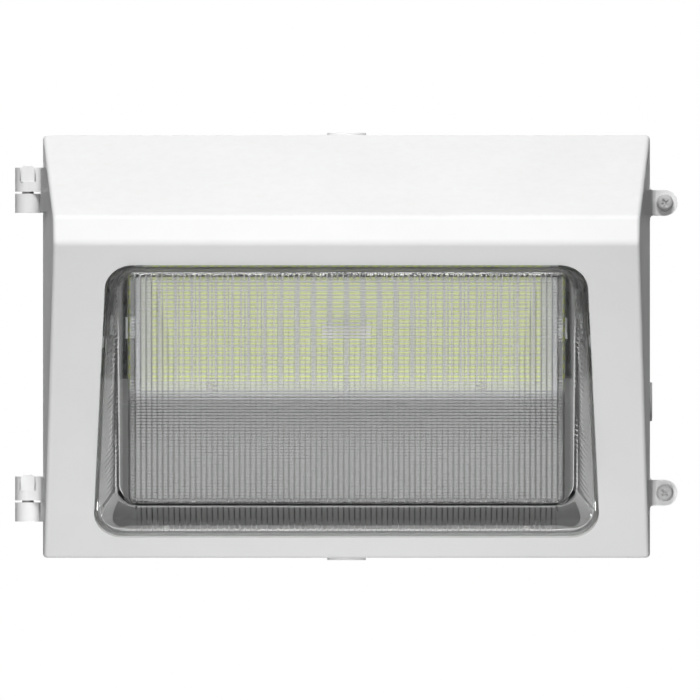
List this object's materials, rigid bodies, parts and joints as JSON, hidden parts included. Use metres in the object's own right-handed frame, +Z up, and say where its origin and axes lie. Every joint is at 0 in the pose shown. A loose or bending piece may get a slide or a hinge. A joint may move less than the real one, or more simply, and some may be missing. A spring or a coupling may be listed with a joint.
{
  "type": "wall pack light",
  "caption": "Wall-mounted outdoor light: cast housing with conduit entries, a hinged door with a ribbed glass lens held by captive screws, and an LED board behind it.",
  "frame": {"origin": "centre of the wall screw pattern on the housing's back face, which lies on the wall", "axes": "+Z up, +X to the right seen from the front, +Y into the wall; the lens faces -Y"},
  "size_m": [0.395, 0.1838, 0.2552],
  "materials": {
    "white_paint": "satin white powder coat",
    "plug_paint": "satin white powder coat",
    "reflector_white": "gloss white reflector paint",
    "silicone": "matt grey silicone",
    "steel": "stainless",
    "bracket_metal": "zinc-plated sheet",
    "plate_aluminium": "mill finish",
    "thermal_grey": "soft pad",
    "board_mask": "white solder mask",
    "led_phosphor": "yellow phosphor under clear silicone",
    "connector_nylon": "moulded nylon",
    "ground_green": "green",
    "tinned_copper": "tinned copper",
    "driver_case": "brushed case",
    "surge_case": "potted black case",
    "terminal_black": "moulded phenolic",
    "lead_red": "insulated lead",
    "lead_black": "insulated lead",
    "prismatic_glass": "clear ribbed borosilicate"
  },
  "bodies": {
    "housing": {"back_housing": "white_paint", "board_screws": "steel", "bracket_screws": "steel", "conduit_plug_bottom": "plug_paint", "conduit_plug_right": "plug_paint", "conduit_plug_top": "plug_paint", "cover_screws": "steel", "driver": "driver_case", "driver_screws": "steel", "gear_cover": "reflector_white", "ground_lead": "ground_green", "ground_lug": "tinned_copper", "ground_screw": "ground_green", "hinge_pin_lower": "steel", "hinge_pin_upper": "steel", "led_board": "board_mask", "led_connector": "connector_nylon", "led_packages": "led_phosphor", "led_plate": "plate_aluminium", "output_leads": "lead_red", "plate_bracket_left": "bracket_metal", "plate_bracket_right": "bracket_metal", "plug_seals": "silicone", "supply_leads": "lead_black", "surge_protector": "surge_case", "tab_screws": "steel", "terminal_block": "terminal_black", "terminal_screws": "steel", "thermal_pad": "thermal_grey"},
    "door": {"door_frame": "white_paint", "door_gasket": "silicone", "lens": "prismatic_glass", "lens_gasket": "silicone", "lens_clips": "bracket_metal", "lens_clip_screws": "steel", "hinge_clip_upper": "white_paint", "hinge_clip_lower": "white_paint"},
    "screw_upper": {"door_screw_upper": "steel", "screw_ring_upper": "steel"},
    "screw_lower": {"door_screw_lower": "steel", "screw_ring_lower": "steel"}
  },
  "joints": [
    {"name": "door_hinge", "type": "hinge", "parent": "housing", "child": "door", "pos_m": [-0.19, -0.066, 0], "axis": [0, 0, -1], "range_deg": [0, 110]},
    {"name": "upper_screw_slide", "type": "slide", "parent": "door", "child": "screw_upper", "axis": [0, -1, 0], "range_m": [0, 0.008]},
    {"name": "lower_screw_slide", "type": "slide", "parent": "door", "child": "screw_lower", "axis": [0, -1, 0], "range_m": [0, 0.008]}
  ]
}
